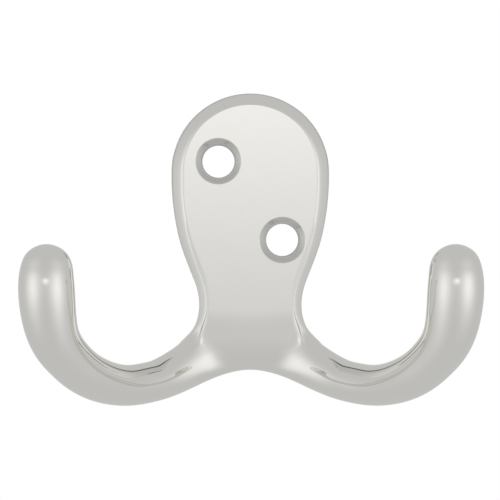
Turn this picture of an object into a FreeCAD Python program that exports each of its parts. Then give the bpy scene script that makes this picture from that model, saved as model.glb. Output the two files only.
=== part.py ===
"""Double robe hook, cast in one piece: a pear-shaped back plate that runs down into two round arms.

Millimetres. The wall is the plane Y = 0 and the hook stands in front of it, towards -Y. +Z is up and
X runs along the spread of the arms. The origin lies on the back face, midway between the screw holes.
"""
import FreeCAD, Part
import math
import os
from FreeCAD import Vector

# Back plate: round head, long sides that draw in to a waist, and a flare that runs out along the arms
PLATE_THICKNESS = 4.5
HEAD_RADIUS = 13.5
HEAD_HEIGHT = 4.9
SIDE_STRAIGHT = 0.9
NECK_RADIUS = 10.86
WAIST_WIDTH = 17.5
WAIST_DROP = 17.9
FLARE_RADIUS = 7.3
FLARE_TURN = 48.0
EDGE_BEVEL = 1.8

# Screw holes, one up and to the left, the other down and to the right
HOLES_ACROSS = 10.9
HOLES_UP = 13.4
BORE_DIAMETER = 5.5
BORE_LAND = 1.6
THROAT_DIAMETER = 6.2
COUNTERSINK_DIAMETER = 7.7
COUNTERSINK_ANGLE = 90.0

# Bar across the foot of the plate: the face rolls over its crest, below the waist, down to the lower edge.
# It keeps this form over a share of the way to the shoulders, while the crest drops a little
CREST_BELOW_WAIST = 2.1
CREST_DROP = 0.8
BAR_ROLL = 9.0
BAR_ABOVE_CREST = 2.0
BAR_PROUD = 0.06
BAR_SHARE = 0.4

# Shoulders, where the arms leave the plate, placed from the end of the flare and proud of the plate's face
SHOULDER_INSET = 0.95
SHOULDER_BELOW_FLARE = 4.5
SHOULDER_PROUD = 1.9
SHOULDER_HEIGHT = 8.0
SHOULDER_DEPTH = 8.0
SHOULDER_LEAN = 0.7

# Arms, measured from the shoulder: the upright tip, the sag of the axis and the rise to the rounded end
ARM_SPREAD = 23.0
ARM_REACH = 25.3
ARM_SAG = 3.3
TIP_RISE = 20.25
ARM_DIAMETER = 7.0
TIP_DIAMETER = 9.38
CAP_DIAMETER = 8.6
CAP_SLOPE = 9.0

# Course of an arm: shares of its spread, its reach, its rise and its growth in girth
ARM_COURSE = (
    (0.179, 0.099, 0.059, 0.06),
    (0.447, 0.328, 0.000, 0.00),
    (0.695, 0.597, 0.086, 0.23),
    (0.857, 0.779, 0.249, 0.37),
    (0.965, 0.917, 0.462, 0.69),
    (1.000, 1.000, 0.793, 1.00),
)

# Radius of the hollow blend between the plate's face and the arms
BLEND_RADIUS = 3.0

# Depth behind the wall plane that is trimmed away, and how far the plate's lower edge lies inside the bar
# in the middle and inside the arms at the sides
TRIM = 10.0
OVERLAP = 2.5
FOOT_INSET = 2.8
FOOT_ABOVE_SHOULDER = 1.9

FORWARD = Vector(0, -1, 0)
UP = Vector(0, 0, 1)
ORIGIN = Vector(0, 0, 0)


def mirrored(shape):
    """The same shape on the other side of the middle plane."""
    return shape.mirror(ORIGIN, Vector(1, 0, 0))


def point_on(centre_x, centre_z, radius, angle):
    """Point of a circle in the wall plane, the angle in degrees from +X towards +Z."""
    turn = math.radians(angle)
    return Vector(centre_x + radius * math.cos(turn), 0, centre_z + radius * math.sin(turn))


def arc(centre_x, centre_z, radius, start, end):
    """Arc in the wall plane from one angle to another."""
    points = [point_on(centre_x, centre_z, radius, angle) for angle in (start, (start + end) / 2, end)]
    return Part.Arc(*points).toShape()


def flare_end():
    """Lower end of the plate's outline on the right, inside the arm."""
    return point_on(WAIST_WIDTH / 2 + FLARE_RADIUS, -WAIST_DROP, FLARE_RADIUS, 180 + FLARE_TURN)


def plate_side():
    """Right-hand half of the plate's outline from the top of the head down to the end of the flare."""
    waist = WAIST_WIDTH / 2
    side_top = HEAD_HEIGHT - SIDE_STRAIGHT
    fall = side_top + WAIST_DROP
    half_turn = math.atan2(HEAD_RADIUS - waist, fall)
    side_radius = fall / math.sin(2 * half_turn) - NECK_RADIUS
    turn = math.degrees(2 * half_turn)
    straight = Part.LineSegment(Vector(HEAD_RADIUS, 0, HEAD_HEIGHT), Vector(HEAD_RADIUS, 0, side_top))
    return [
        arc(0, HEAD_HEIGHT, HEAD_RADIUS, 90, 0),
        straight.toShape(),
        arc(HEAD_RADIUS - side_radius, side_top, side_radius, 0, -turn),
        arc(waist + NECK_RADIUS, -WAIST_DROP, NECK_RADIUS, 180 - turn, 180),
        arc(waist + FLARE_RADIUS, -WAIST_DROP, FLARE_RADIUS, 180, 180 + FLARE_TURN),
    ]


def plate():
    """Plate with its bevelled front edge, still too deep at the back, where the wall plane trims it.
    Its lower edge is an arch that stays inside the bar and the arms."""
    side = plate_side()
    crest, shoulder = bar_middle(), shoulder_centre()
    foot = Vector(shoulder.x - FOOT_INSET, 0, shoulder.z + FOOT_ABOVE_SHOULDER)
    arch = Part.Arc(foot, crest - UP * OVERLAP, Vector(-foot.x, 0, foot.z)).toShape()
    half = side + [Part.LineSegment(flare_end(), foot).toShape()]
    edges = half + [mirrored(edge) for edge in half] + [arch]
    face = Part.Face(Part.Wire(Part.__sortEdges__(edges)))
    face.translate(FORWARD * -TRIM)
    blank = face.extrude(FORWARD * (PLATE_THICKNESS + TRIM))
    rim = [edge for edge in blank.Edges if is_rim(edge, side)]
    return blank.makeChamfer(EDGE_BEVEL, rim)


def is_rim(edge, side):
    """Whether an edge of the blank runs along the front of the plate's outline."""
    middle = edge.valueAt((edge.FirstParameter + edge.LastParameter) / 2)
    if abs(middle.y + PLATE_THICKNESS) > 1e-6:
        return False
    foot = Part.Vertex(Vector(abs(middle.x), 0, middle.z))
    return any(part.distToShape(foot)[0] < 1e-4 for part in side)


def bar_middle():
    """Centre of the bar's section in the middle plane, level with its crest."""
    return Vector(0, 0, -WAIST_DROP - CREST_BELOW_WAIST)


def shoulder_centre():
    """Centre of the section where the right-hand arm leaves the plate."""
    corner = flare_end()
    out = PLATE_THICKNESS + SHOULDER_PROUD - SHOULDER_DEPTH / 2
    return Vector(corner.x - SHOULDER_INSET, -out, corner.z - SHOULDER_BELOW_FLARE)


def arm_end():
    """Centre of the last round section of the right-hand arm, under its rounded end."""
    shoulder = shoulder_centre()
    return shoulder + Vector(ARM_SPREAD, -ARM_REACH, TIP_RISE - ARM_SAG)


def arm_stations():
    """Sections of the right-hand arm from the middle plane to the rounded end: centre, height below and
    above it, half depth and the share of the axis's fall that the section leans with."""
    middle, shoulder = bar_middle(), shoulder_centre()
    bar_depth = PLATE_THICKNESS + BAR_PROUD
    shoulder_height, shoulder_depth = SHOULDER_HEIGHT / 2, SHOULDER_DEPTH / 2
    bar_end = Vector(shoulder.x * BAR_SHARE, 0, middle.z - CREST_DROP)
    stations = [
        (middle, BAR_ROLL, BAR_ABOVE_CREST, bar_depth, 0.0),
        (bar_end, BAR_ROLL, BAR_ABOVE_CREST, bar_depth, 0.0),
        (shoulder, shoulder_height, shoulder_height, shoulder_depth, SHOULDER_LEAN),
    ]
    for spread, reach, rise, growth in ARM_COURSE:
        step = Vector(spread * ARM_SPREAD, -reach * ARM_REACH, rise * TIP_RISE - ARM_SAG)
        radius = (ARM_DIAMETER + growth * (TIP_DIAMETER - ARM_DIAMETER)) / 2
        stations.append((shoulder + step, radius, radius, radius, 1.0))
    end_radius = CAP_DIAMETER / 2 * math.cos(math.radians(CAP_SLOPE))
    stations.append((arm_end(), end_radius, end_radius, end_radius, None))
    return stations


def section(centre, along, below, above, half_depth):
    """Oval across the arm's axis: a lower and an upper half that meet at the back and at the front."""
    up = FORWARD.cross(along).normalize()
    back = along.cross(up) * -half_depth
    circle = Part.Circle(ORIGIN, UP, 1)
    halves = []
    for start, height in ((0, below), (math.pi, above)):
        down = up * -height
        placing = FreeCAD.Matrix(
            back.x, down.x, along.x, centre.x, back.y, down.y, along.y, centre.y,
            back.z, down.z, along.z, centre.z, 0, 0, 0, 1)
        half = Part.ArcOfCircle(circle, start, start + math.pi).toShape()
        halves.append(half.transformGeometry(placing))
    return Part.Wire(halves)


def arms():
    """Both arms and the bar between them as one body, oval in the middle and round along the arms."""
    right = arm_stations()
    left = [(Vector(-centre.x, centre.y, centre.z), *sizes) for centre, *sizes in right[:0:-1]]
    stations = left + right
    axis = Part.BSplineCurve()
    axis.interpolate([station[0] for station in stations])
    sections = []
    for centre, below, above, half_depth, lean in stations:
        along = axis.tangent(axis.parameter(centre))[0]
        if lean is None:
            along = UP * math.copysign(1, centre.x)
        else:
            along = Vector(along.x, along.y, along.z * lean).normalize()
        sections.append(section(centre, along, below, above, half_depth))
    return Part.makeLoft(sections, True, False)


def tip_cap():
    """Rounded end of the right-hand arm: the part of a ball above the last section."""
    radius = CAP_DIAMETER / 2
    centre = arm_end() - UP * (radius * math.sin(math.radians(CAP_SLOPE)))
    return Part.makeSphere(radius, centre, UP, CAP_SLOPE, 90)


def screw_hole(x, z):
    """Countersunk hole that narrows with the casting's draft to a short straight land at the back."""
    head, throat, bore = COUNTERSINK_DIAMETER / 2, THROAT_DIAMETER / 2, BORE_DIAMETER / 2
    sink = (head - throat) / math.tan(math.radians(COUNTERSINK_ANGLE / 2))
    flank = [
        (0, -TRIM), (bore, -TRIM), (bore, BORE_LAND), (throat, PLATE_THICKNESS - sink),
        (head, PLATE_THICKNESS), (head, PLATE_THICKNESS + TRIM), (0, PLATE_THICKNESS + TRIM)]
    points = [Vector(x + across, -out, z) for across, out in flank]
    profile = Part.Face(Part.makePolygon(points + points[:1]))
    return profile.revolve(Vector(x, 0, z), FORWARD, 360)


def blended(body):
    """Fills the hollow line along which the plate's face meets the bar and the arms."""
    hollow = []
    for edge in body.Edges:
        middle = edge.valueAt((edge.FirstParameter + edge.LastParameter) / 2)
        surfaces = [face.Surface for face in body.ancestorsOfType(edge, Part.Face)]
        on_face = abs(middle.y + PLATE_THICKNESS) < 1e-4
        if on_face and any(isinstance(surface, Part.BSplineSurface) for surface in surfaces):
            hollow.append(edge)
    return body.makeFillet(BLEND_RADIUS, hollow)


def hook():
    """The whole casting."""
    reach = 4 * (ARM_SPREAD + WAIST_WIDTH)
    in_front = Part.makeBox(2 * reach, reach, 2 * reach, Vector(-reach, -reach, -reach))
    cap = tip_cap()
    body = plate().fuse(arms()).fuse([cap, mirrored(cap)]).common(in_front)
    holes = [
        screw_hole(-HOLES_ACROSS / 2, HOLES_UP / 2),
        screw_hole(HOLES_ACROSS / 2, -HOLES_UP / 2)]
    return blended(body).cut(holes)


os.makedirs("parts", exist_ok=True)
shape = hook()
if len(shape.Solids) != 1 or not shape.isValid():
    raise RuntimeError("the hook did not come out as one sound solid")
shape.Solids[0].exportStep("parts/double_robe_hook.step")
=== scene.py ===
import math
import bmesh
import bpy
from bpy.props import FloatProperty, FloatVectorProperty, IntProperty, PointerProperty
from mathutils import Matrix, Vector


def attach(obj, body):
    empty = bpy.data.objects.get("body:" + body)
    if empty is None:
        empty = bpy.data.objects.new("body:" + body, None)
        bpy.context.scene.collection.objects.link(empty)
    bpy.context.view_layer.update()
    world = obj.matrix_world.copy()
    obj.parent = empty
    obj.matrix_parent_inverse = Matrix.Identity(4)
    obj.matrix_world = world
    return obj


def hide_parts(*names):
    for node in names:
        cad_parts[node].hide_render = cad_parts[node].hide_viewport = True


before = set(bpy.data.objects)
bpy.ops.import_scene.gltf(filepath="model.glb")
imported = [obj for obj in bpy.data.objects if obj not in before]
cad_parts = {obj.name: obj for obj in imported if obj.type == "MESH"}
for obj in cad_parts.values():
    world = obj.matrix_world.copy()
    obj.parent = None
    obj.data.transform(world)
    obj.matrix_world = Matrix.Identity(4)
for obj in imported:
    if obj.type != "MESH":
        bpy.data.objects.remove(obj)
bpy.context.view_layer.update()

bl_info = {
    "name": "Double robe hook",
    "version": (1, 0, 0),
    "blender": (4, 5, 0),
    "location": "3D View > Sidebar > Hook",
    "description": "Builds a polished double robe hook and a plain white studio round it",
    "category": "Add Mesh",
}

FORWARD = Vector((0, -1, 0))
UP = Vector((0, 0, 1))


def length(label, words, default):
    """A length of the hook or the studio, in metres."""
    return FloatProperty(name=label, description=words, default=default, min=0, unit="LENGTH", precision=5)


def place_of(label, words, default):
    """A place along an axis, in metres, which may lie on either side."""
    return FloatProperty(name=label, description=words, default=default, unit="LENGTH", precision=5)


def share(label, words, default):
    """A plain number between nothing and a few times the whole."""
    return FloatProperty(name=label, description=words, default=default, min=0, precision=4)


def angle(label, words, degrees):
    """An angle, given in degrees and kept in radians."""
    return FloatProperty(name=label, description=words, default=math.radians(degrees), subtype="ANGLE")


class HookShape(bpy.types.PropertyGroup):
    """Sizes of the casting."""

    thickness: length("Plate thickness", "Depth of the plate from the wall to its face", 0.0045)
    head_radius: length("Head radius", "Radius of the round head", 0.013495)
    head_height: length("Head height", "Centre of the head above the middle of the screw holes", 0.0049)
    side_straight: length("Side straight", "Straight run below the head", 0.0009)
    neck_radius: length("Neck radius", "Hollow of the sides above the waist", 0.01086)
    waist_width: length("Waist width", "Narrowest width of the plate", 0.0175)
    waist_drop: length("Waist drop", "Waist below the middle of the screw holes", 0.0179)
    flare_radius: length("Flare radius", "Hollow below the waist, where the plate widens", 0.0073)
    flare_turn: angle("Flare turn", "Angle that the flare turns through", 48)
    bevel_head: length("Bevel at the head", "Width of the bevelled edge round the head", 0.0018)
    bevel_neck: length("Bevel at the neck", "Width of the bevelled edge at the waist", 0.00135)
    face_round: length("Face edge rounding", "Rounding between the face and the bevel", 0.0003)
    face_hold: length("Face hold", "How far beside that rounding the face is held flat", 0.0005)
    wall_round: length("Wall edge rounding", "Rounding between the bevel and the side wall", 0.0002)
    wall_draft: length("Wall draft", "How far the side wall leans in for the casting's draft", 0.0001)
    holes_across: length("Holes across", "Screw holes apart, sideways", 0.0109)
    holes_up: length("Holes up", "Screw holes apart, upwards", 0.0134)
    bore: length("Bore", "Diameter of the screw holes at the back", 0.0055)
    bore_land: length("Bore land", "Straight length of the bore from the wall", 0.0016)
    throat: length("Throat", "Diameter at the foot of the countersink", 0.0062)
    countersink: length("Countersink", "Diameter of the countersink at the face", 0.0077)
    rim_round: length("Rim rounding", "Small polished rounding round each countersink", 0.00018)
    crest_drop: length("Crest drop", "Where the face starts to roll over, below the waist", 0.0021)
    bar_roll: length("Bar roll", "Height of the roll from the crest to the lower edge", 0.009)
    bar_full: share("Bar fullness", "Power of the roll's oval: 1 is plain, less is fuller", 0.78)
    crest_hold: length("Crest hold", "How far above the crest the face is held flat", 0.0015)
    shoulder_inset: length("Shoulder inset", "Shoulder inwards from the end of the flare", 0.00095)
    shoulder_below: length("Shoulder below", "Shoulder below the end of the flare", 0.0045)
    shoulder_proud: length("Shoulder proud", "Front of the shoulder in front of the plate's face", 0.0012)
    shoulder_height: length("Shoulder height", "Height of the arm where it leaves the plate", 0.008)
    shoulder_depth: length("Shoulder depth", "Depth of the arm where it leaves the plate", 0.008)
    shoulder_lean: share("Shoulder lean", "How much of the fall of the axis the shoulder leans with", 0.7)
    arm_spread: length("Arm spread", "Tip sideways from the shoulder", 0.023)
    arm_reach: length("Arm reach", "Tip in front of the shoulder", 0.026)
    arm_sag: length("Arm sag", "Lowest point of the axis below the shoulder", 0.00329)
    tip_rise: length("Tip rise", "Rise of the axis to the rounded end", 0.02025)
    arm_diameter: length("Arm diameter", "Thinnest girth of the arm", 0.007)
    tip_diameter: length("Tip diameter", "Widest girth near the end", 0.00936)
    cap_diameter: length("Cap diameter", "Girth of the ball that rounds the end", 0.0086)
    cap_slope: angle("Cap slope", "Slope where the ball takes over", 9)
    smoothness: IntProperty(name="Smoothness", description="Subdivision levels", default=3, min=1, max=4)


class HookLook(bpy.types.PropertyGroup):
    """Finish of the metal, with painted shade: a dark colour mixed in at the screw holes, the side wall and
    the back.
    """

    tint: FloatVectorProperty(
        name="Nickel tint", description="Colour of the polished plating", subtype="COLOR",
        default=(0.830, 0.823, 0.791), min=0, max=1)
    polish: share("Polish", "Roughness of the polished metal", 0.035)
    haze: share("Haze", "Extra roughness in hazy patches of the polish", 0.03)
    ripple: share("Ripple", "Height of the faint waviness that buffing leaves", 0.012)
    # Painted shade: the dark tint below is mixed into the metal's colour in the screw holes, on the side wall
    # and on the back. It stands in for the shade in those recesses and the dark reflections along the edge.
    # The shares below set how much painted shade and extra roughness each of these places gets, and the fade
    # sets how softly they end.
    painted_shade_tint: FloatVectorProperty(
        name="Dull tint", description="Colour of the plating where it isn't buffed", subtype="COLOR",
        default=(0.190, 0.187, 0.180), min=0, max=1)
    dull_rough: share("Dull roughness", "Extra roughness where the metal isn't buffed", 0.3)
    sink_shade_and_dull: share("Dull countersinks", "How dull the countersinks are", 0.29)
    bore_shade_and_dull: share("Dull bores", "How dull the bores are below the countersinks", 0.8)
    back_shade_and_dull: share("Dull back", "How dull the side wall and back are", 0.9)
    fade: length("Fade", "How softly the buffing ends", 0.0004)


class HookStage(bpy.types.PropertyGroup):
    """Camera and studio."""

    camera_distance: length("Camera distance", "Camera in front of the plate's face", 0.52)
    camera_side: place_of("Camera side", "Camera to the right", -0.003)
    camera_height: place_of("Camera height", "Camera upwards", -0.0053)
    aim_side: place_of("Aim side", "Aim to the right", -0.00007)
    aim_height: place_of("Aim height", "Aim upwards", -0.0084)
    picture_width: length("Picture width", "Width that the picture shows at the plate's face", 0.085)
    floor_drop: length("Floor drop", "Floor below the middle of the screw holes", 0.12)
    room: share("Room", "Brightness of the tent's plain walls", 0.61)
    backdrop_angle: angle("Backdrop angle", "Half angle of the white backdrop behind the hook", 20)


# Soft panels of the tent: where they stand, seen from the hook in degrees, and their strength
PANELS = (
    {"Side centre": -54.0, "Side width": 21.0, "Up centre": -4.0, "Up width": 20.0, "Strength": 0.40},
    {"Side centre": 48.0, "Side width": 21.0, "Up centre": -4.0, "Up width": 20.0, "Strength": 0.43},
    {"Side centre": 0.0, "Side width": 9.0, "Up centre": 4.0, "Up width": 3.3, "Strength": 0.425},
    {"Side centre": 0.0, "Side width": 14.0, "Up centre": -8.0, "Up width": 9.0, "Strength": 0.015},
)

# Course of an arm: shares of its spread, its reach, its rise and its growth in girth
ARM_COURSE = (
    (0.179, 0.106, 0.059, 0.06),
    (0.447, 0.340, 0.000, 0.00),
    (0.695, 0.608, 0.086, 0.23),
    (0.857, 0.785, 0.249, 0.37),
    (0.965, 0.919, 0.462, 0.69),
    (1.000, 1.000, 0.793, 1.00),
)


def plate_outline(shape):
    """Points of the plate's right-hand edge with their outward directions, from the top to the flare's end.
    Each point is (x, z, outward x, outward z, bevel width, rounding of the bevel's inner edge, depth)."""
    waist = shape.waist_width / 2
    side_top = shape.head_height - shape.side_straight
    fall = side_top + shape.waist_drop
    half_turn = math.atan2(shape.head_radius - waist, fall)
    side_radius = fall / math.sin(2 * half_turn) - shape.neck_radius
    points = []

    def on_arc(x, z, radius, degrees, sign, bevel, wide=1, roll=0):
        turn = math.radians(degrees)
        out_x, out_z = math.cos(turn), math.sin(turn)
        place = (x + radius * out_x, z + radius * out_z, sign * out_x, sign * out_z)
        depth = shape.thickness * math.cos(math.radians(roll))
        points.append(place + (bevel, shape.face_round * wide, depth))

    def bevel_at(part):
        return shape.bevel_head + (shape.bevel_neck - shape.bevel_head) * part

    for degrees in (90, 78, 66, 54, 42, 28, 14, 1):
        on_arc(0, shape.head_height, shape.head_radius, degrees, 1, bevel_at(0))
    turn = math.degrees(2 * half_turn)
    for part in (0.2, 0.45, 0.7, 1.0):
        on_arc(shape.head_radius - side_radius, side_top, side_radius, -turn * part, 1, bevel_at(part * 0.6))
    for part in (0.5, 1.0):
        degrees = 180 - turn + turn * part
        bevel = bevel_at(0.6 + 0.4 * part)
        on_arc(waist + shape.neck_radius, -shape.waist_drop, shape.neck_radius, degrees, -1, bevel)
    flare = math.degrees(shape.flare_turn)
    radius = shape.flare_radius
    for part, wide, roll in ((0.36, 1.5, 4), (0.72, 2.6, 17)):
        degrees = 180 + flare * part
        on_arc(waist + radius, -shape.waist_drop, radius, degrees, -1, bevel_at(1), wide, roll)
    return points


def shoulder_centre(shape):
    """Centre of the section where the right-hand arm leaves the plate."""
    x = shape.waist_width / 2 + shape.flare_radius * (1 - math.cos(shape.flare_turn)) - shape.shoulder_inset
    z = -shape.waist_drop - shape.flare_radius * math.sin(shape.flare_turn) - shape.shoulder_below
    return Vector((x, shape.shoulder_depth / 2 - shape.thickness - shape.shoulder_proud, z))


def ring_point(centre, along, half_height, half_depth, turn):
    """Point of an oval section across an axis. The turn goes from the back down and round the front."""
    up = FORWARD.cross(along).normalized()
    back = along.cross(up) * -half_depth
    return centre + back * math.cos(turn) - up * half_height * math.sin(turn)


def wall_turn(section, low, high):
    """Turn between low and high at which a section meets the wall plane."""
    for step in range(30):
        middle = (low + high) / 2
        if (ring_point(*section, low).y > 0) == (ring_point(*section, middle).y > 0):
            low = middle
        else:
            high = middle
    return low


def shoulder_section(shape):
    """Oval section where the right-hand arm leaves the plate."""
    shoulder = shoulder_centre(shape)
    spread, reach, rise, girth = ARM_COURSE[0]
    fall = (rise * shape.tip_rise - shape.arm_sag) * shape.shoulder_lean
    along = Vector((spread * shape.arm_spread, -reach * shape.arm_reach, fall)).normalized()
    return shoulder, along, shape.shoulder_height / 2, shape.shoulder_depth / 2


def arm_axis(shape):
    """Centres and radii of the right-hand arm from the first full round section to the rounded end."""
    shoulder = shoulder_centre(shape)
    growth = shape.tip_diameter - shape.arm_diameter
    stations = [(shoulder, shape.shoulder_height / 2)]
    for spread, reach, rise, girth in ARM_COURSE:
        climb = rise * shape.tip_rise - shape.arm_sag
        step = Vector((spread * shape.arm_spread, -reach * shape.arm_reach, climb))
        stations.append((shoulder + step, (shape.arm_diameter + girth * growth) / 2))
    end = shoulder + Vector((shape.arm_spread, -shape.arm_reach, shape.tip_rise - shape.arm_sag))
    stations.append((end, shape.cap_diameter / 2 * math.cos(shape.cap_slope)))
    finer = []
    for k in range(1, len(stations) - 1):
        finer.append(stations[k])
        before = stations[k - 1]
        after = stations[min(k + 2, len(stations) - 1)]
        middle = [(9 * (stations[k][n] + stations[k + 1][n]) - before[n] - after[n]) / 16 for n in (0, 1)]
        finer.append(tuple(middle))
    finer.append(stations[-1])
    # Pulling the points together and pushing them apart again takes out kinks and keeps the course
    for pull in (0.5, -0.53):
        fair = []
        for before, here, after in zip(finer, finer[1:], finer[2:]):
            fair.append(tuple(here[n] + ((before[n] + after[n]) / 2 - here[n]) * pull for n in (0, 1)))
        finer = finer[:1] + fair + finer[-1:]
    return finer


def extrude_row(mesh, row, places, closed=False):
    """Extrudes a row of vertices and moves the new row to the given places."""
    count = len(row)
    pairs = [(row[k], row[(k + 1) % count]) for k in range(count if closed else count - 1)]
    edges = [mesh.edges.get(pair) or mesh.edges.new(pair) for pair in pairs]
    made = bmesh.ops.extrude_edge_only(mesh, edges=edges)["geom"]
    fresh = {item for item in made if isinstance(item, bmesh.types.BMVert)}
    after = []
    for vert, place in zip(row, places):
        new = next(edge.other_vert(vert) for edge in vert.link_edges if edge.other_vert(vert) in fresh)
        new.co = place
        after.append(new)
    return after


def edge_lines(shape, station):
    """Places of a station's points from the face over the bevel to the wall, with both edges rounded."""
    x, z, out_x, out_z, bevel, face_round, depth = station
    slant = math.sqrt(0.5)
    wall_round = shape.wall_round * face_round / shape.face_round
    profile = (
        (bevel + face_round, depth),
        (bevel - face_round * slant, depth - face_round * slant),
        (wall_round * slant, depth - bevel + wall_round * slant),
        (shape.wall_draft, depth - bevel - wall_round),
        (0, 0),
    )
    return [Vector((max(0, x - out_x * inset), -out, z - out_z * inset)) for inset, out in profile]


def hook_cage(shape):
    """Right-hand half of the casting as a coarse cage whose points lie on its true surface."""
    mesh = bmesh.new()
    crease = mesh.edges.layers.float.new("crease_edge")
    face_y = -shape.thickness
    edge = plate_outline(shape)
    lines = [edge_lines(shape, station) for station in edge]
    top_count = 5

    def held_point(station):
        x, z, out_x, out_z, bevel, face_round, depth = station
        inset = bevel + face_round + shape.face_hold
        return Vector((max(0, x - out_x * inset), -depth, z - out_z * inset))

    def rolled(degrees):
        """Point of the bar's full quarter oval in the middle plane."""
        fall = math.radians(degrees)
        out, down = math.cos(fall) ** shape.bar_full, math.sin(fall) ** shape.bar_full
        return Vector((0, face_y * out, crest_z - shape.bar_roll * down))

    # Face of the plate, row by row from the top of the head to the waist, and on over the crest of the bar
    row = [mesh.verts.new(line[0]) for line in lines[:top_count]]
    inner_line = list(row)
    top_z = held_point(edge[0]).z
    crest_z = -shape.waist_drop - shape.crest_drop
    flat_z = crest_z + shape.crest_hold
    waist = len(edge) - 3
    columns = (0, 0.36, 0.7, 1)
    for k in range(top_count, len(edge)):
        outer, held = lines[k][0], held_point(edge[k])
        if k == top_count:
            places = [held_point(other) for other in edge[:top_count - 1]]
        elif k <= waist:
            centre = top_z + (flat_z - top_z) * (k - top_count) / (waist - top_count)
            places = []
            for part in columns:
                places.append(Vector((held.x * part, face_y, centre + (held.z - centre) * part ** 3)))
        else:
            fall = ((crest_z - held.z) / shape.bar_roll) ** (1 / shape.bar_full)
            centre = rolled(math.degrees(math.asin(fall)))
            places = [centre.lerp(held, part ** 2) for part in columns]
            for place, part in zip(places, columns):
                place.x = held.x * part
        row = extrude_row(mesh, row, places + [outer])
        inner_line.append(row[-1])

    # Roll of the bar down to the lower edge at the wall. In the middle it is a quarter of an oval,
    # and each row leaves that form for the arm's round section, the upper rows later than the lower ones
    shoulder = shoulder_section(shape)
    low_turn = wall_turn(shoulder, math.radians(20), math.radians(120))
    high_turn = wall_turn(shoulder, math.radians(340), math.radians(270))
    top_turn, front_turn = math.radians(222), math.radians(174)
    front_turns = [top_turn, (top_turn + front_turn) / 2]
    front_turns += [front_turn + (low_turn - front_turn) * part for part in (0, 1 / 3, 2 / 3, 1)]
    edge_turns = [top_turn, math.radians(243), math.radians(264), math.radians(285), high_turn]
    ring_half = []
    rolls = (32, 42, 55, 68, 80, 90)
    outward = (3.2, 3.5, 3.2, 2.6, 2.1, 1.7)
    downward = (2.0, 2.0, 2.0, 1.9, 1.8, 1.7)
    for turn, roll, come, drop in zip(front_turns, rolls, outward, downward):
        start = rolled(roll)
        end = ring_point(*shoulder, turn)
        if turn == low_turn:
            start.y = 0
            end.y = 0
        places = []
        for part in (0, 0.34, 0.65, 0.88, 1):
            y = start.y + (end.y - start.y) * part ** come
            z = start.z + (end.z - start.z) * part ** drop
            places.append(Vector((end.x * part, y, z)))
        row = extrude_row(mesh, row, places)
        ring_half.append(row[-1])
    inner_line.append(ring_half[0])
    lower = row

    # Bevelled edge and side wall of the plate
    edge_ends = [ring_half[0]]
    side = inner_line
    for k in range(1, 5):
        end = ring_point(*shoulder, edge_turns[k])
        if k == 4:
            end.y = 0
        side = extrude_row(mesh, side, [line[k] for line in lines] + [end])
        edge_ends.append(side[-1])

    # Flat back in three parts, each so simple that it subdivides without a fold
    back_middle = mesh.verts.new((side[-1].co + lower[-1].co) / 2)
    back = side + [back_middle] + lower[::-1]
    middle = mesh.verts.new((0, 0, -shape.waist_drop))
    mesh.faces.new(side[:waist + 1] + [middle])
    mesh.faces.new([middle] + side[waist:waist + 2] + lower[2::-1])
    mesh.faces.new(side[waist + 1:] + [back_middle] + lower[:1:-1])
    for pair in zip(back, back[1:]):
        mesh.edges.get(pair)[crease] = 1.0

    # Arm, ring by ring, closed with a ball. The lines along it spread evenly as it leaves the shoulder
    ring = edge_ends[::-1] + ring_half[1:] + [back_middle]
    first_turns = edge_turns[::-1] + front_turns[1:] + [0]
    count = len(ring)
    even = [math.radians(341) - k * 2 * math.pi / count for k in range(count)]
    axis = arm_axis(shape)
    centres = [shoulder[0]] + [station[0] for station in axis]
    for k, (centre, radius) in enumerate(axis):
        if k == len(axis) - 1:
            along = UP
        else:
            along = (centres[k + 2] - centres[k]).normalized()
        part = min(1, (k + 1) / 6)
        turns = [first + (then - first) * part for first, then in zip(first_turns, even)]
        places = [ring_point(centre, along, radius, radius, turn) for turn in turns]
        ring = extrude_row(mesh, ring, places, True)
    ball = shape.cap_diameter / 2
    ball_centre = axis[-1][0] - UP * ball * math.sin(shape.cap_slope)
    for degrees in (32, 56, 78):
        rise, radius = ball * math.sin(math.radians(degrees)), ball * math.cos(math.radians(degrees))
        centre = ball_centre + UP * rise
        places = [ring_point(centre, UP, radius, radius, turn) for turn in even]
        ring = extrude_row(mesh, ring, places, True)
    mesh.faces.new(ring)
    return mesh


def fit_cage(made, rounds, soft_rounds, face_y, soft_z):
    """Moves a cage outwards until its subdivided surface runs close to the points it was given.
    Points on the plate's face stay where they are, so that it comes out flat. The arms and the bar get
    fewer rounds, so that they come out fair, and no point moves so far that the surface could fold."""
    verts = made.data.vertices
    targets = [vert.co.copy() for vert in verts]
    most = [math.inf] * len(targets)
    for edge in made.data.edges:
        first, second = edge.vertices
        far = (targets[first] - targets[second]).length * 0.5
        most[first] = min(most[first], far)
        most[second] = min(most[second], far)
    for step in range(rounds):
        graph = bpy.context.evaluated_depsgraph_get()
        places = [vert.co.copy() for vert in made.evaluated_get(graph).data.vertices[:len(targets)]]
        for vert, target, place, far in zip(verts, targets, places, most):
            soft = target.z < soft_z or target.y < face_y - 1e-6
            if abs(target.y - face_y) < 1e-6 or soft and step >= soft_rounds:
                continue
            shift = vert.co - place
            if shift.length > far:
                shift *= far / shift.length
            vert.co = target + shift
            if target.y > face_y:
                vert.co.y = max(vert.co.y, face_y)
        made.data.update()


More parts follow.
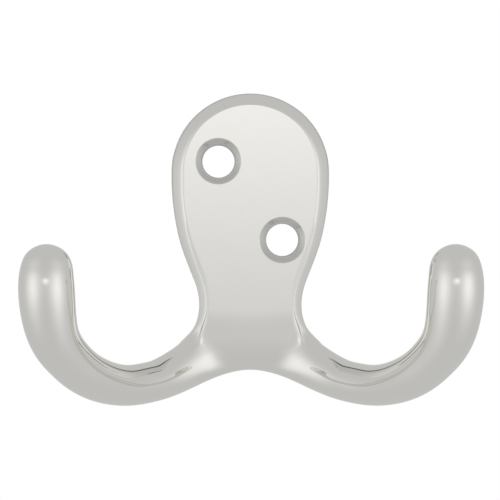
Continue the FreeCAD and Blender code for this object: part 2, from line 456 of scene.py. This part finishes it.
def screw_cutter(shape, x, z):
    """Tool in the form of a countersunk screw hole, with a small rounding at its rim."""
    mesh = bmesh.new()
    bore, throat, head = shape.bore / 2, shape.throat / 2, shape.countersink / 2
    face = shape.thickness
    sink = head - throat
    clear = 0.002
    rim = shape.rim_round
    flank = [(0, -clear), (bore, -clear), (bore, shape.bore_land), (throat, face - sink)]
    for degrees in (0, 15, 30):
        turn = math.radians(45 - degrees)
        flank.append((head + rim * (1 - math.sin(turn) * 1.4), face - rim * (1 - math.cos(turn)) * 1.4))
    flank.append((head + 2 * rim, face + clear))
    flank.append((0, face + clear))
    verts = [mesh.verts.new((x + across, -out, z)) for across, out in flank]
    edges = [mesh.edges.new(pair) for pair in zip(verts, verts[1:])]
    bmesh.ops.spin(
        mesh, geom=verts + edges, cent=(x, 0, z), axis=(0, 1, 0), angle=2 * math.pi, steps=96, use_merge=True)
    bmesh.ops.remove_doubles(mesh, verts=mesh.verts, dist=1e-7)
    bmesh.ops.recalc_face_normals(mesh, faces=mesh.faces)
    return mesh


def object_from(name, mesh):
    """Turns a bmesh into an object of the scene."""
    data = bpy.data.meshes.new(name)
    mesh.to_mesh(data)
    mesh.free()
    made = bpy.data.objects.new(name, data)
    bpy.context.scene.collection.objects.link(made)
    return made


def bake(made):
    """Replaces an object's mesh by what its modifiers make of it."""
    graph = bpy.context.evaluated_depsgraph_get()
    data = bpy.data.meshes.new_from_object(made.evaluated_get(graph))
    made.modifiers.clear()
    made.data = data


class Nodes:
    """Short way to add and join the nodes of a material, a world or a group."""

    def __init__(self, tree):
        self.tree = tree
        tree.nodes.clear()

    def add(self, kind, **values):
        """Adds a node and sets the given properties on it."""
        node = self.tree.nodes.new(kind)
        for name, value in values.items():
            setattr(node, name, value)
        return node

    def feed(self, node, name, value):
        """Gives an input a value or joins it to a socket."""
        socket = node.inputs[name]
        if isinstance(value, bpy.types.NodeSocket):
            self.tree.links.new(value, socket)
        else:
            socket.default_value = value

    def math(self, operation, *values):
        """Adds a math node and returns its result."""
        node = self.add("ShaderNodeMath", operation=operation)
        for k, value in enumerate(values):
            self.feed(node, k, value)
        return node.outputs[0]


def smooth_step(nodes, value, low, high):
    """A smooth rise from 0 at low to 1 at high."""
    step = nodes.add("ShaderNodeMapRange", interpolation_type="SMOOTHSTEP")
    nodes.feed(step, "Value", value)
    nodes.feed(step, "From Min", low)
    nodes.feed(step, "From Max", high)
    return step.outputs["Result"]


def nickel(look, shape):
    """Polished nickel plate: mirror bright, slightly warm, with a faint haze and ripple from buffing.
    In the screw holes and along the back edge, where the buffing wheel does not reach, it is rougher, and
    painted shade darkens its colour there."""
    material = bpy.data.materials.new("polished_nickel")
    material.use_nodes = True
    nodes = Nodes(material.node_tree)
    out = nodes.add("ShaderNodeOutputMaterial")
    metal = nodes.add("ShaderNodeBsdfPrincipled")
    nodes.feed(out, "Surface", metal.outputs["BSDF"])
    place = nodes.add("ShaderNodeTexCoord").outputs["Object"]
    parts = nodes.add("ShaderNodeSeparateXYZ")
    nodes.feed(parts, 0, place)
    x, y, z = parts.outputs
    # Side wall above the bar, and the back: rougher there, and darkened with painted shade
    edge = shape.bevel_head - shape.thickness
    back = smooth_step(nodes, y, edge - look.fade, edge + look.fade)
    crest = -shape.waist_drop - shape.crest_drop
    back = nodes.math("MULTIPLY", back, smooth_step(nodes, z, crest - shape.crest_hold, crest))
    back = nodes.math("MAXIMUM", back, smooth_step(nodes, y, -look.fade, -look.fade / 4))
    flat = nodes.add("ShaderNodeCombineXYZ")
    nodes.feed(flat, "X", x)
    nodes.feed(flat, "Z", z)
    near = None
    for side in (-1, 1):
        gap = nodes.add("ShaderNodeVectorMath", operation="DISTANCE")
        nodes.feed(gap, 0, flat.outputs[0])
        nodes.feed(gap, 1, (side * shape.holes_across / 2, 0, -side * shape.holes_up / 2))
        near = gap.outputs["Value"] if near is None else nodes.math("MINIMUM", near, gap.outputs["Value"])
    # Countersinks and bores: rougher there, and darkened with painted shade of the recess
    rim, throat, soft = shape.countersink / 2, shape.throat / 2, look.fade / 4
    sink = nodes.math("SUBTRACT", 1.0, smooth_step(nodes, near, rim - soft, rim + soft))
    bore = nodes.math("SUBTRACT", 1.0, smooth_step(nodes, near, throat - soft, throat + soft))
    # Each mask's share both roughens the metal and mixes in painted shade
    shade_and_dull = 0.0
    for mask, share_of in ((sink, look.sink_shade_and_dull), (bore, look.bore_shade_and_dull), (back, look.back_shade_and_dull)):
        shade_and_dull = nodes.math("MAXIMUM", nodes.math("MULTIPLY", mask, share_of), shade_and_dull)
    haze = nodes.add("ShaderNodeTexNoise")
    nodes.feed(haze, "Vector", place)
    nodes.feed(haze, "Scale", 160.0)
    nodes.feed(haze, "Detail", 4.0)
    rough = nodes.math("MULTIPLY_ADD", haze.outputs["Fac"], look.haze, look.polish - look.haze / 2)
    nodes.feed(metal, "Roughness", nodes.math("MULTIPLY_ADD", shade_and_dull, look.dull_rough, rough))
    nodes.feed(metal, "Metallic", 1.0)
    warm = nodes.add("ShaderNodeMix", data_type="RGBA")
    nodes.feed(warm, 0, nodes.math("MULTIPLY", haze.outputs["Fac"], 0.25))
    nodes.feed(warm, 6, tuple(look.tint) + (1,))
    nodes.feed(warm, 7, (look.tint[0] * 0.985, look.tint[1] * 0.98, look.tint[2] * 0.965, 1))
    # Painted shade: the colour is mixed towards the dark tint where the masks say
    painted_shade_mix = nodes.add("ShaderNodeMix", data_type="RGBA")
    nodes.feed(painted_shade_mix, 0, shade_and_dull)
    nodes.feed(painted_shade_mix, 6, warm.outputs[2])
    nodes.feed(painted_shade_mix, 7, tuple(look.painted_shade_tint) + (1,))
    nodes.feed(metal, "Base Color", painted_shade_mix.outputs[2])
    ripple = nodes.add("ShaderNodeTexNoise")
    nodes.feed(ripple, "Vector", place)
    nodes.feed(ripple, "Scale", 420.0)
    nodes.feed(ripple, "Detail", 2.0)
    bump = nodes.add("ShaderNodeBump")
    nodes.feed(bump, "Strength", look.ripple)
    nodes.feed(bump, "Distance", 0.0002)
    nodes.feed(bump, "Height", ripple.outputs["Fac"])
    nodes.feed(metal, "Normal", bump.outputs["Normal"])
    return material


class HOOK_OT_casting(bpy.types.Operator):
    """Builds the casting: plate, bar and both arms in one smooth piece, with its screw holes"""

    bl_idname = "hook.casting"
    bl_label = "Casting"

    def execute(self, context):
        shape = context.scene.hook_shape
        mesh = hook_cage(shape)
        bmesh.ops.mirror(mesh, geom=mesh.verts[:] + mesh.edges[:] + mesh.faces[:], axis="X", merge_dist=1e-6)
        bmesh.ops.recalc_face_normals(mesh, faces=mesh.faces)
        shoulder = shoulder_centre(shape)
        blend = [vert for vert in mesh.verts
                 if shoulder.x * 0.6 < abs(vert.co.x) < shoulder.x * 1.12
                 and -0.1 < (vert.co.z - shoulder.z) / shape.shoulder_height < 0.7
                 and vert.co.y < -shape.thickness * 0.75]
        for step in range(4):
            bmesh.ops.smooth_vert(
                mesh, verts=blend, factor=0.5, use_axis_x=True, use_axis_y=True, use_axis_z=True)
        hook = object_from("hook_casting", mesh)
        smooth = hook.modifiers.new("smooth", "SUBSURF")
        smooth.levels = shape.smoothness
        smooth.render_levels = shape.smoothness
        fit_cage(hook, 5, 3, -shape.thickness, -shape.waist_drop)
        bake(hook)
        for side in (-1, 1):
            across, up = side * shape.holes_across / 2, -side * shape.holes_up / 2
            tool = object_from("cutter", screw_cutter(shape, across, up))
            cut = hook.modifiers.new("hole", "BOOLEAN")
            cut.operation = "DIFFERENCE"
            cut.solver = "EXACT"
            cut.object = tool
            bake(hook)
            bpy.data.objects.remove(tool)
        hook.data.shade_smooth()
        hook.data.set_sharp_from_angle(angle=math.radians(32))
        hook.data.materials.clear()
        hook.data.materials.append(nickel(context.scene.hook_look, shape))
        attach(hook, "root")
        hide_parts("double_robe_hook")
        return {"FINISHED"}


def soft_panel():
    """Node group: light of a soft panel of the tent, seen in a direction given by two angles in degrees."""
    group = bpy.data.node_groups.new("soft panel", "ShaderNodeTree")
    names = ("Sideways", "Upward", "Side centre", "Side width", "Up centre", "Up width", "Strength")
    for name in names:
        group.interface.new_socket(name, in_out="INPUT", socket_type="NodeSocketFloat")
    group.interface.new_socket("Light", in_out="OUTPUT", socket_type="NodeSocketFloat")
    nodes = Nodes(group)
    given = nodes.add("NodeGroupInput").outputs
    out = nodes.add("NodeGroupOutput")
    fall = 0
    for way, centre, width in (names[0], names[2], names[3]), (names[1], names[4], names[5]):
        off = nodes.math("DIVIDE", nodes.math("SUBTRACT", given[way], given[centre]), given[width])
        fall = nodes.math("MULTIPLY_ADD", off, off, fall)
    light = nodes.math("EXPONENT", nodes.math("MULTIPLY", fall, -0.5))
    nodes.feed(out, "Light", nodes.math("MULTIPLY", light, given["Strength"]))
    return group


def tent(world, stage):
    """Light tent: a plain pale room with soft panels, and white straight behind the hook."""
    world.use_nodes = True
    nodes = Nodes(world.node_tree)
    out = nodes.add("ShaderNodeOutputWorld")
    parts = nodes.add("ShaderNodeSeparateXYZ")
    nodes.feed(parts, 0, nodes.add("ShaderNodeTexCoord").outputs["Generated"])
    x, y, z = parts.outputs
    degrees = 180 / math.pi
    sideways = nodes.math("MULTIPLY", nodes.math("ARCTAN2", x, nodes.math("MULTIPLY", y, -1.0)), degrees)
    upward = nodes.math("MULTIPLY", nodes.math("ARCSINE", z), degrees)
    group = soft_panel()
    level = stage.room
    for panel in PANELS:
        node = nodes.add("ShaderNodeGroup", node_tree=group)
        nodes.feed(node, "Sideways", sideways)
        nodes.feed(node, "Upward", upward)
        for name, value in panel.items():
            nodes.feed(node, name, value)
        level = nodes.math("ADD", node.outputs["Light"], level)
    edge = stage.backdrop_angle
    behind = smooth_step(nodes, y, math.cos(edge), math.cos(edge * 0.7))
    rest = nodes.math("SUBTRACT", 1.0, level)
    level = nodes.math("MULTIPLY_ADD", rest, behind, level)
    light = nodes.add("ShaderNodeBackground")
    nodes.feed(light, "Color", (1, 1, 1, 1))
    nodes.feed(light, "Strength", level)
    nodes.feed(out, "Surface", light.outputs[0])


def plain(name, colour):
    """Plain matt paper for the studio."""
    material = bpy.data.materials.new(name)
    material.use_nodes = True
    nodes = Nodes(material.node_tree)
    out = nodes.add("ShaderNodeOutputMaterial")
    paper = nodes.add("ShaderNodeBsdfDiffuse")
    nodes.feed(paper, "Color", colour)
    nodes.feed(out, "Surface", paper.outputs[0])
    return material


class HOOK_OT_studio(bpy.types.Operator):
    """Sets the camera, the light tent and a pale floor"""

    bl_idname = "hook.studio"
    bl_label = "Studio"

    def execute(self, context):
        scene = context.scene
        stage = scene.hook_stage
        face = -scene.hook_shape.thickness
        lens = bpy.data.cameras.new("camera")
        camera = bpy.data.objects.new("camera", lens)
        scene.collection.objects.link(camera)
        camera.location = (stage.camera_side, face - stage.camera_distance, stage.camera_height)
        aim = Vector((stage.aim_side, face, stage.aim_height))
        camera.rotation_euler = (aim - camera.location).to_track_quat("-Z", "Y").to_euler()
        lens.lens = lens.sensor_width * stage.camera_distance / stage.picture_width
        scene.camera = camera
        scene.view_settings.view_transform = "Standard"
        world = bpy.data.worlds.new("tent")
        scene.world = world
        tent(world, stage)
        mesh = bmesh.new()
        bmesh.ops.create_grid(mesh, x_segments=2, y_segments=2, size=0.4)
        bmesh.ops.translate(mesh, verts=mesh.verts, vec=(0, -0.1, -stage.floor_drop))
        floor = object_from("floor", mesh)
        floor.data.materials.append(plain("floor paper", (0.92, 0.92, 0.92, 1)))
        floor.visible_glossy = False
        return {"FINISHED"}


class HOOK_PT_panel(bpy.types.Panel):
    """Sizes, finish and studio of the hook"""

    bl_idname = "HOOK_PT_panel"
    bl_label = "Double robe hook"
    bl_space_type = "VIEW_3D"
    bl_region_type = "UI"
    bl_category = "Hook"

    def draw(self, context):
        layout = self.layout
        for group in (context.scene.hook_shape, context.scene.hook_look, context.scene.hook_stage):
            box = layout.box()
            for name in group.__annotations__:
                box.prop(group, name)
        layout.operator("hook.casting")
        layout.operator("hook.studio")


CLASSES = (HookShape, HookLook, HookStage, HOOK_OT_casting, HOOK_OT_studio, HOOK_PT_panel)


def register():
    """Adds the sizes, the operators and the panel to Blender."""
    for kind in CLASSES:
        bpy.utils.register_class(kind)
    bpy.types.Scene.hook_shape = PointerProperty(type=HookShape)
    bpy.types.Scene.hook_look = PointerProperty(type=HookLook)
    bpy.types.Scene.hook_stage = PointerProperty(type=HookStage)


def unregister():
    """Takes them out again."""
    del bpy.types.Scene.hook_stage
    del bpy.types.Scene.hook_look
    del bpy.types.Scene.hook_shape
    for kind in reversed(CLASSES):
        bpy.utils.unregister_class(kind)


def main():
    """Builds the hook and its studio."""
    register()
    bpy.ops.hook.casting()
    bpy.ops.hook.studio()


if __name__ == "__main__":
    main()
